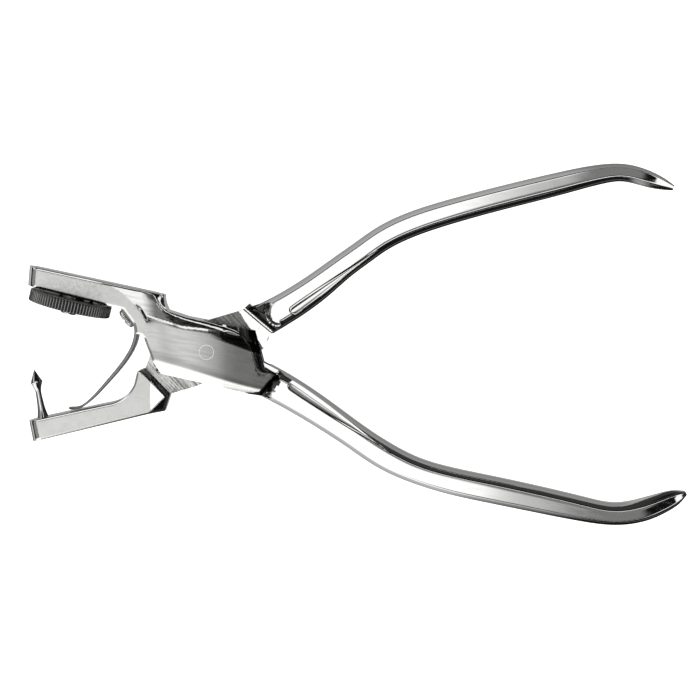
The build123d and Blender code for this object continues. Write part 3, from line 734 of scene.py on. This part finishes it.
def make_die_wheel():
    def teeth(turn, radius):
        if radius < WHEEL_R - 0.5:
            return 0
        wave = abs(sin(turn * WHEEL_TEETH / 2)) ** 0.6
        return -TOOTH_DEPTH * (1 - wave)

    half = WHEEL_THICKNESS / 2
    profile = [(0.05, -half), (1.52, -half), (9.6, -half), (WHEEL_R - 0.32, -half)]
    profile += [(WHEEL_R - 0.1, 0.08 - half), (WHEEL_R, 0.26 - half)]
    profile += [(WHEEL_R, height) for height in (-0.6, 0.0, 0.6)]
    profile += [(WHEEL_R, half - 0.26), (WHEEL_R - 0.1, half - 0.08), (WHEEL_R - 0.32, half)]
    profile += [(9.6, half), (1.52, half), (0.05, half)]
    wheel = lathe(
        "die_wheel_steel", profile, WHEEL_CENTRE, WHEEL_AXIS, steps=WHEEL_TEETH * 8, ripples=teeth
    )
    bore = lathe("bore", [(1.53, -3), (1.53, 3)], WHEEL_CENTRE, WHEEL_AXIS, steps=48)
    wheel = combine(wheel, bore, "DIFFERENCE")
    across = (WHEEL_AXIS[1], -WHEEL_AXIS[0])
    for index in range(DIE_HOLES):
        turn = 2 * pi * index / DIE_HOLES
        radius = 0.45 + 0.1 * index
        place = along(WHEEL_CENTRE, across, -DIE_RING_R * cos(turn))
        profile = [(radius, -3), (radius, 0), (radius + 0.3, 0.001), (radius + 0.3, 3)]
        hole = lathe("hole", profile, place, WHEEL_AXIS, steps=32)
        hole.data.transform(Matrix.Translation((0, 0, DIE_RING_R * sin(turn) * MM)))
        wheel = combine(wheel, hole, "DIFFERENCE")
    return wheel


def make_punch():
    profile = [(0.03, 0.0), (0.1, -0.12)]
    profile += [(1.5 * step / 8 + 0.06, -3.2 * step / 8) for step in range(1, 8)]
    profile += [(1.55, -3.15), (1.57, -3.3), (1.47, -3.55)]
    shank = smooth_line(((3.6, 1.42), (5.5, 0.8), (7.5, 0.8), (10.5, 1.05), (12.95, 1.6)), 0.3)
    profile += [(radius, -down) for down, radius in shank]
    profile += [(1.6, -13.1), (0.95, -13.12), (0.95, -15.0)]
    return lathe("punch_steel", profile, PUNCH_TIP, PUNCH_AXIS, steps=64)


LEAF_ROUTE = (
    (-18.35, 3.8, 0.88), (-20.85, -1.75, 0.95), (-26.42, -8.53, 0.82), (-31.75, -13.75, 0.58),
    (-33.5, -14.72, 0.5), (-36.1, -14.85, 0.45),
)
LEAF_SPACING = 0.35
LEAF_THICK = 0.9
LEAF_ROOT_HALF = 2.9  # half the leaf's width at its screw, and at its foot
LEAF_FOOT_HALF = 1.8


def make_leaf():
    seat = LEAF_THICK / 2 - 0.35
    start = along(along(PAD_TOP, PAD_DOWN, -0.4), PAD_OUT, seat)
    middle = along(along(PAD_TOP, PAD_DOWN, 2.3), PAD_OUT, seat)
    leaves = along(along(PAD_BOTTOM, PAD_DOWN, 0.6), PAD_OUT, seat)
    points = [(*start, LEAF_THICK), (*middle, LEAF_THICK), (*leaves, LEAF_THICK), *LEAF_ROUTE]
    rows, run = frames(points, LEAF_SPACING)
    corners = []
    steps = 5
    section = []
    for quarter in range(4):
        for step in range(steps):
            section.append((quarter, pi / 2 * (quarter + step / (steps - 1))))
    total = len(rows)
    for index, ((x, y, thick), (tx, ty)) in enumerate(zip(rows, run)):
        past = ease(index / total - 0.15, 0.0, 0.75)
        half = LEAF_ROOT_HALF + (LEAF_FOOT_HALF - LEAF_ROOT_HALF) * past
        left = (total - 1 - index) * LEAF_SPACING
        if left < LEAF_FOOT_HALF:  # the foot is rounded
            half = half * (0.35 + 0.65 * (1 - (1 - left / LEAF_FOOT_HALF) ** 2) ** 0.5)
        radius = min(0.2, thick * 0.45)
        for quarter, turn in section:
            u = (thick / 2 - radius) * (1 if quarter in (0, 3) else -1) + radius * cos(turn)
            w = (half - radius) * (1 if quarter in (0, 1) else -1) + radius * sin(turn)
            corners.append((x - ty * u, y + tx * u, w))
    return tube("leaf_spring_steel", corners, len(section))


SPRING_SCREW = along(PAD_TOP, PAD_DOWN, 2.33)
SCREW_SLOT_HALF = 0.25


def cut_slot(screw, foot, axis, across, low, high):
    """A slot across a screw's head, from low to high along its axis."""
    start, end = along(foot, axis, low), along(foot, axis, high)
    slot = [
        along(start, across, SCREW_SLOT_HALF), along(end, across, SCREW_SLOT_HALF),
        along(end, across, -SCREW_SLOT_HALF), along(start, across, -SCREW_SLOT_HALF),
    ]
    return combine(screw, prism("slot", slot, -4, 4), "DIFFERENCE")


def make_spring_screw():
    def knurl(turn, radius):
        if radius < 2.4:
            return 0
        return -0.16 * (1 - abs(sin(turn * 15)))

    profile = [(0.05, -3.0), (1.1, -3.0), (1.1, 0.57), (2.35, 0.57), (2.55, 0.66), (2.6, 0.8)]
    profile += [(2.6, 1.1), (2.6, 1.4), (2.54, 1.6), (2.3, 1.8), (1.9, 1.93), (1.2, 2.03)]
    profile += [(0.05, 2.07)]
    screw = lathe("spring_screw_steel", profile, SPRING_SCREW, PAD_OUT, steps=240, ripples=knurl)
    return cut_slot(screw, SPRING_SCREW, PAD_OUT, PAD_DOWN, 1.55, 4)


def make_wheel_screw():
    foot = along(WHEEL_TOP, WHEEL_AXIS, -WHEEL_THICKNESS)
    profile = [(0.05, 5.0), (1.0, 5.0), (1.0, 3.1), (1.5, 3.1), (1.5, -0.02), (2.05, -0.02)]
    profile += [(2.1, -0.1), (2.1, -0.9), (2.02, -1.12), (1.8, -1.28), (1.2, -1.34), (0.05, -1.35)]
    screw = lathe("wheel_screw_steel", profile, foot, WHEEL_AXIS, steps=96)
    return cut_slot(screw, foot, WHEEL_AXIS, ALONG_JAW, -0.75, -3)


# ---- materials --------------------------------------------------------------------------------
class Nodes:
    """A short way to write a node tree."""

    def __init__(self, tree):
        self.tree = tree
        tree.nodes.clear()

    def add(self, kind, inputs=(), **settings):
        node = self.tree.nodes.new(kind)
        for key, value in settings.items():
            setattr(node, key, value)
        for key, value in dict(inputs).items():
            if isinstance(value, bpy.types.NodeSocket):
                self.tree.links.new(value, node.inputs[key])
            else:
                node.inputs[key].default_value = value
        return node

    def math(self, operation, a, b=0.0, clamp=False):
        node = self.add("ShaderNodeMath", {0: a, 1: b}, operation=operation, use_clamp=clamp)
        return node.outputs[0]

    def step(self, value, low, high, start=0.0, end=1.0):
        inputs = {"Value": value, "From Min": low, "From Max": high, "To Min": start, "To Max": end}
        node = self.add("ShaderNodeMapRange", inputs, interpolation_type="SMOOTHSTEP")
        return node.outputs["Result"]

    def blend(self, share, first, second):
        node = self.add("ShaderNodeMix", {0: share, 2: first, 3: second}, data_type="FLOAT")
        return node.outputs[0]


def steel(name, tint, rough, streak, bump, mottle, grain=9.0, spread=0.06, lines=0.0, painted_light=None):
    """Steel with its own finish: streaks of polishing or grinding, a slight unevenness, and painted
    light and shade where a pattern for them is given.
    """
    material = bpy.data.materials.new(name)
    material.use_nodes = True
    nodes = Nodes(material.node_tree)
    place = nodes.add("ShaderNodeTexCoord").outputs["Object"]
    turn, stretch = streak or (0.0, (1, 1, 1))
    mapping = {"Vector": place, "Rotation": (0, 0, radians(turn)), "Scale": stretch}
    lined = nodes.add("ShaderNodeMapping", mapping, vector_type="TEXTURE").outputs["Vector"]
    fine = {"Vector": lined, "Scale": grain * 100, "Detail": 4.0, "Roughness": 0.6}
    fine = nodes.add("ShaderNodeTexNoise", fine).outputs["Fac"]
    broad = {"Vector": place, "Scale": 160.0, "Detail": 3.0, "Roughness": 0.5}
    broad = nodes.add("ShaderNodeTexNoise", broad).outputs["Fac"]
    shade = nodes.math("MULTIPLY_ADD", broad, mottle)
    shade.node.inputs[2].default_value = 1 - mottle / 2
    shade = nodes.math("MULTIPLY", shade, nodes.step(fine, 0.35, 0.6, 1 - lines, 1.0))
    # painted light and shade: the given pattern brightens or darkens the colour
    if painted_light:
        shade = nodes.math("MULTIPLY", shade, painted_light(nodes, place))
    colour = {0: shade, 6: (0.0, 0.0, 0.0, 1), 7: (*tint, 1)}
    colour = nodes.add("ShaderNodeMix", colour, data_type="RGBA", clamp_factor=False).outputs[2]
    roughness = nodes.step(fine, 0.3, 0.7, max(0.01, rough - spread), rough + spread)
    relief_map = {"Strength": min(bump, 1.0), "Distance": 0.00004 * max(bump, 1.0), "Height": fine}
    bumpy = nodes.add("ShaderNodeBump", relief_map).outputs["Normal"]
    shader = {"Base Color": colour, "Metallic": 1.0, "Roughness": roughness, "Normal": bumpy}
    shader = nodes.add("ShaderNodeBsdfPrincipled", shader)
    nodes.add("ShaderNodeOutputMaterial", {"Surface": shader.outputs[0]})
    return material


def box_painted_light(nodes, place):
    """Painted light on the box face: a painted highlight along the lower edge, and painted shade in
    a band above it and towards the handles.
    """
    parts = nodes.add("ShaderNodeSeparateXYZ", {0: place}).outputs
    start, end = BOX_BOTTOM[0], BOX_BOTTOM[-1]
    run = hypot(end[0] - start[0], end[1] - start[1])
    up = ((start[1] - end[1]) / run, (end[0] - start[0]) / run)
    level = nodes.math("MULTIPLY", parts[0], up[0])
    level = nodes.math("ADD", level, nodes.math("MULTIPLY", parts[1], up[1]))
    level = nodes.math("SUBTRACT", level, (start[0] * up[0] + start[1] * up[1]) * MM)
    width = nodes.step(parts[0], -0.013, 0.013, 0.0034, 0.0017)
    share = nodes.math("DIVIDE", level, width)
    # painted highlight: a band along the lower edge, lifted far above the steel's own tint
    painted_highlight_band = nodes.step(share, 1.12, 0.72)
    # painted shade: darker towards the handles and in a band above the highlight
    painted_shade_to_handles = nodes.step(parts[0], -0.006, 0.009, 1.0, 0.4)
    shaded = nodes.step(share, 1.9, 1.25, 1.0, 0.72)
    painted_shade_to_handles = nodes.math("MULTIPLY", painted_shade_to_handles, shaded)
    return nodes.blend(painted_highlight_band, painted_shade_to_handles, 2.4)


def cove_painted_shade(nodes, place):
    """Painted shade in the hollow along the fold: darker than the jaw that it starts from."""
    parts = nodes.add("ShaderNodeSeparateXYZ", {0: place}).outputs
    return nodes.step(parts[0], -0.0168, -0.0128, 1.0, 0.2)


PLAIN = (0, (1, 1, 1))
LENGTHWISE = (-11, (16, 1, 1))
GRINDING = (-48, (26, 1, 1))
POLISHED = steel("polished_steel_mirror", (0.66, 0.66, 0.65), 0.05, (-11, (4, 1, 1)), 0.04, 0.06)
# the box face: brushed steel, with a painted highlight along its lower edge and painted shade
# towards the handles
BRUSHED_PAINTED_LIGHT = steel(
    "box_face_steel_painted_light", (0.42, 0.42, 0.41), 0.18, LENGTHWISE, 0.4, 0.3, 14.0, 0.07, 0.2, box_painted_light
)
FOLD = steel("box_fold_steel", (0.6, 0.6, 0.59), 0.07, LENGTHWISE, 0.15, 0.2, 14.0, 0.03, 0.1)
# painted shade along the cove of the fold
COVE_PAINTED_SHADE = steel(
    "box_cove_steel_painted_shade", (0.6, 0.6, 0.59), 0.09, LENGTHWISE, 0.15, 0.2, 14.0, 0.03, 0.2, cove_painted_shade
)
SATIN = steel("jaw_satin_steel", (0.62, 0.62, 0.605), 0.42, PLAIN, 0.6, 0.25, 14.0, 0.06, 0.1)
GROUND = steel("ground_steel", (0.5, 0.5, 0.49), 0.1, GRINDING, 7.0, 0.3, 18.0, 0.06, 0.7)
# a dark copy of the ground steel: painted shade on the tongue's upper half
SHADED = steel(
    "ground_steel_painted_shade", (0.17, 0.17, 0.165), 0.12, GRINDING, 7.0, 0.4, 18.0, 0.06, 0.6
)
WHEEL = steel("wheel_steel_dark", (0.2, 0.2, 0.195), 0.2, PLAIN, 0.3, 0.2)
# painted shade: near black, for the wheel's flat faces
WHEEL_FACE_PAINTED_SHADE = steel("wheel_face_painted_shade", (0.025, 0.025, 0.025), 0.3, PLAIN, 0.3, 0.2)
KNOB = steel("spring_screw_grey", (0.55, 0.55, 0.54), 0.08, PLAIN, 0.2, 0.2)
SCREW = steel("screw_steel_bright", (0.62, 0.62, 0.61), 0.09, PLAIN, 0.05, 0.1)
SPRING = steel("spring_steel_grey", (0.17, 0.17, 0.165), 0.3, (-50, (16, 1, 1)), 0.5, 0.3)
# painted shade: near black, for the handle roots' hollows, under the box's lower corner and at the
# fold's end
HOLLOW_PAINTED_SHADE = steel("hollow_painted_shade", (0.032, 0.031, 0.03), 0.16, LENGTHWISE, 0.3, 0.4)


def dress(piece, *materials):
    piece.data.materials.clear()
    for material in materials:
        piece.data.materials.append(material)
    return piece


def face_centres(piece):
    """Face centres in millimetres about the middle plane, and face normals."""
    count = len(piece.data.polygons)
    centres, normals = np.zeros(count * 3), np.zeros(count * 3)
    piece.data.polygons.foreach_get("center", centres)
    piece.data.polygons.foreach_get("normal", normals)
    centres = centres.reshape(-1, 3) / MM
    centres[:, 2] -= MID_PLANE / MM
    return centres, normals.reshape(-1, 3)


def paint(piece, index):
    piece.data.polygons.foreach_set("material_index", np.asarray(index, np.int32))
    piece.data.update()
    return piece


FLAT = 0.97  # the least share of a flat face's normal that lies along z
FACE_TOLERANCE = 0.06  # how far below the jaws' faces a face still counts as theirs


def paint_box_arm(piece):
    """Which finish each face of the box arm has, and where it gets painted light and shade."""
    dress(piece, POLISHED, SATIN, BRUSHED_PAINTED_LIGHT, FOLD, HOLLOW_PAINTED_SHADE, COVE_PAINTED_SHADE)
    centres, normals = face_centres(piece)
    x, y, depth = centres[:, 0], centres[:, 1], abs(centres[:, 2])
    facing = abs(normals[:, 2])
    past_satin = x >= satin_level(y)
    satin = (depth > JAW_HALF - FACE_TOLERANCE) & (facing > FLAT) & ~past_satin & (x < -12.4)
    on_face = (facing > 0.8) & (depth > 2.2)
    on_box = (x > -30) & (x < 17.5) & past_satin
    # the brushed face ends under the ridge towards the jaw, and at the fold's foot beyond x = 5
    foot_y = line_level(FOLD_FOOT, x) + 0.2
    ridge_y = line_level(FOLD_RIDGE, x) - 0.3
    above_foot = y > foot_y + (ridge_y - foot_y) * np.interp(x, (0, 5), (1, 0))
    fold = on_box & on_face & above_foot & (facing > 0.9)
    brushed = on_box & on_face & ~above_foot & (depth > 3.0)
    # the cove between the ridge and the bright line, and its start below the ridge, which get
    # painted shade
    beyond_line, away, line_width = from_bright_line(centres[:, :2])
    below_line = ~beyond_line & (away > line_width)
    cove = on_box & on_face & below_line & (y > ridge_y + 0.65)
    start = on_box & (x > 0.5) & (x <= 3.5) & (y < ridge_y + 0.65)
    cove |= start & (y > foot_y + np.interp(x, (0.5, 3.5), (1.3, 0.3)))
    # painted shade, near black: past the lower corner, under it, and at the fold's end
    past_corner = (x - 14.0) * 0.77 - (y + 11.35) * 0.64
    painted_shade_mask = (past_corner > -0.1) & (x < 20.0) & (facing > 0.8) & ~brushed
    painted_shade_mask &= (depth > 1.3) & (depth < 2.9)
    painted_shade_mask |= inside(centres[:, :2], UNDER_CORNER_PAINTED_SHADE) & (depth > 2.2)
    painted_shade_mask |= on_box & above_foot & (x > 3.5) & (depth > 1.8) & ((x > 8.3) | below_line)
    around_pin = (np.hypot(x, y) < PIN_GROOVE) & on_face
    places = [satin, painted_shade_mask, cove, brushed & ~around_pin, fold | around_pin]
    paint(piece, np.select(places, [1, 4, 5, 2, 3], 0))


def paint_tongue_arm(piece):
    """Which finish each face of the tongue arm has, and where it gets painted shade."""
    dress(piece, POLISHED, SATIN, GROUND, HOLLOW_PAINTED_SHADE, SHADED)
    centres, normals = face_centres(piece)
    x, y, depth = centres[:, 0], centres[:, 1], abs(centres[:, 2])
    facing = abs(normals[:, 2])
    satin = (depth > JAW_HALF - FACE_TOLERANCE) & (facing > FLAT) & (x < -14.6) & (y < 0)
    behind = behind_shoulder(centres)
    # the hollow behind the upper handle's shoulder gets near-black painted shade
    hollow = (behind > 0.7) & (x < 20.0) & (facing > 0.8) & (depth > 1.1) & (depth < 2.9)
    (ax, ay), (bx, by) = GROUND_END
    before_end = (x - ax) * (by - ay) > (y - ay) * (bx - ax)
    ground = (depth < TONGUE_HALF + 0.05) & (facing > 0.5) & (abs(x) < 17.5)
    ground &= before_end | (behind < -12)
    # the ground tongue's upper half gets painted shade
    paint(piece, np.select([satin, ground & (x + y > 0), ground, hollow], [1, 4, 2, 3], 0))


# ---- build -------------------------------------------------------------------------------------
box_arm = finish_mesh(make_box_arm())
paint_box_arm(box_arm)
tongue_arm = finish_mesh(make_tongue_arm())
paint_tongue_arm(tongue_arm)
die_wheel = dress(finish_mesh(make_die_wheel(), 40), WHEEL, WHEEL_FACE_PAINTED_SHADE)
# the wheel's flat faces get near-black painted shade
_, normals = face_centres(die_wheel)
flat = abs(normals[:, 0] * WHEEL_AXIS[0] + normals[:, 1] * WHEEL_AXIS[1]) > 0.95
paint(die_wheel, np.where(flat, 1, 0))
punch = dress(finish_mesh(make_punch()), SCREW)
wheel_screw = dress(finish_mesh(make_wheel_screw()), SCREW)
spring_screw = dress(finish_mesh(make_spring_screw(), 40), KNOB)
leaf = dress(finish_mesh(make_leaf(), 60), SPRING)

for piece, body, node, slot in (
    (box_arm, "box_half", "box_arm", "polished_steel"),
    (tongue_arm, "tongue_half", "tongue_arm", "polished_steel"),
    (die_wheel, "wheel", "die_wheel", "wheel_steel"),
    (punch, "tongue_half", "punch_pin", "screw_steel"),
    (wheel_screw, "box_half", "wheel_screw", "screw_steel"),
    (spring_screw, "box_half", "spring_screw", "screw_steel"),
    (leaf, None, "leaf_spring", "spring_steel"),
):
    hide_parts(node)
    if body:
        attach(piece, body)

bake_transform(leaf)

for node, material in (
    ("pivot_pin", BRUSHED_PAINTED_LIGHT),
    ("wheel_washer", WHEEL),
    ("detent_ball", SCREW),
    ("detent_spring", SPRING),
):
    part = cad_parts[node]
    for index in range(len(part.material_slots)):
        part.material_slots[index].material = material


# ---- the studio --------------------------------------------------------------------------------
FLOOR_REACH = 40.0
FLOOR_GAP = 0.0005
low, high = cad_box
centre = (low + high) / 2
sides = ((-1, -1), (1, -1), (1, 1), (-1, 1))
floor_corners = [(centre.x + a * FLOOR_REACH, centre.y + b * FLOOR_REACH) for a, b in sides]
floor_mesh = bpy.data.meshes.new("floor")
floor_mesh.from_pydata([(x, y, low.z - FLOOR_GAP) for x, y in floor_corners], [], [(0, 1, 2, 3)])
floor = bpy.data.objects.new("floor", floor_mesh)
bpy.context.collection.objects.link(floor)
paper = bpy.data.materials.new("studio_paper")
paper.use_nodes = True
nodes = Nodes(paper.node_tree)
shader = {"Base Color": (0.9, 0.9, 0.9, 1), "Roughness": 0.9}
shader["Emission Color"] = (1, 1, 1, 1)
shader["Emission Strength"] = 1.0
shader = nodes.add("ShaderNodeBsdfPrincipled", shader)
nodes.add("ShaderNodeOutputMaterial", {"Surface": shader.outputs[0]})
floor_mesh.materials.append(paper)
floor.visible_glossy = False
floor.visible_diffuse = False

# The studio's surround, by direction: a bright panel overhead, a light wall round the -X side
# with a dark doorway in it, and a dark side towards +X and +Y with a thin strip light over it.
world = bpy.data.worlds.new("studio")
bpy.context.scene.world = world
world.use_nodes = True
nodes = Nodes(world.node_tree)
direction = nodes.add("ShaderNodeTexCoord").outputs["Generated"]
parts = nodes.add("ShaderNodeSeparateXYZ", {0: direction}).outputs
x, y, z = parts[0], parts[1], parts[2]


def both(first, second):
    return nodes.math("MULTIPLY", first, second)


level_part = nodes.math("MAXIMUM", nodes.math("SUBTRACT", 1.0, both(z, z)), 0.0001)
reach_out = nodes.math("SQRT", level_part)
to_x = nodes.math("DIVIDE", x, reach_out)  # the compass direction, whatever the height
to_y = nodes.math("DIVIDE", y, reach_out)
light_side = nodes.step(to_x, 0.05, -0.15)

# below the horizon: the paper and what stands round it
low_level = nodes.blend(light_side, 0.008, 0.66)
inner_far = both(nodes.step(to_y, 0.35, 0.6), nodes.step(to_x, 0.85, 0.65))
low_level = nodes.blend(inner_far, low_level, nodes.blend(light_side, 0.30, 0.50))
stripe = both(nodes.step(z, -0.52, -0.48), nodes.step(z, -0.38, -0.42))
dark_low = both(nodes.math("SUBTRACT", 1.0, light_side), nodes.step(to_y, 0.3, 0.0))
low_level = nodes.blend(both(stripe, dark_low), low_level, 0.12)
low_level = both(low_level, nodes.step(z, -1.0, 0.0, 0.72, 1.35))
low_level = nodes.blend(nodes.step(z, -0.8, -0.95), low_level, 0.42)

# above it: the light wall, and the dark side with its strip light
light_up = both(light_side, nodes.step(to_y, 0.8, 0.45))
dark_level = nodes.blend(nodes.step(z, 0.925, 0.945), 0.008, 0.27)
strip = both(nodes.step(z, 0.785, 0.80), nodes.step(z, 0.875, 0.86))
dark_level = nodes.blend(strip, dark_level, 1.5)
low_wall = both(nodes.step(z, 0.0, 0.1), nodes.step(z, 0.5, 0.35))
dark_level = nodes.blend(low_wall, dark_level, 0.05)
up_level = nodes.blend(light_up, dark_level, 1.6)
level = nodes.blend(nodes.step(z, -0.06, 0.06), low_level, up_level)

# a dark doorway straight towards -X
left = nodes.step(to_x, -0.8, -0.93)
doorway = both(nodes.step(z, -0.36, -0.28), nodes.step(z, 0.38, 0.30))
level = nodes.blend(both(left, doorway), level, 0.02)
wall = both(nodes.step(z, 0.30, 0.38), nodes.step(z, 0.90, 0.84))
level = nodes.blend(both(left, wall), level, 0.32)

panel = nodes.step(z, 0.955, 0.975)
fade = nodes.step(x, 0.16, 0.065)
level = nodes.blend(both(panel, fade), level, 1.6)
background = nodes.add("ShaderNodeBackground", {"Color": level})
nodes.add("ShaderNodeOutputWorld", {"Surface": background.outputs[0]})

# ---- camera ------------------------------------------------------------------------------------
lens = bpy.data.cameras.new("camera")
lens.lens = 87.4
lens.sensor_width = 36
camera = bpy.data.objects.new("camera", lens)
bpy.context.collection.objects.link(camera)
camera.location = (36.82 * MM, 38.56 * MM, 443.03 * MM)
camera.rotation_euler = (radians(-5.0), 0, 0)
bpy.context.scene.camera = camera
bpy.context.scene.view_settings.view_transform = "Standard"
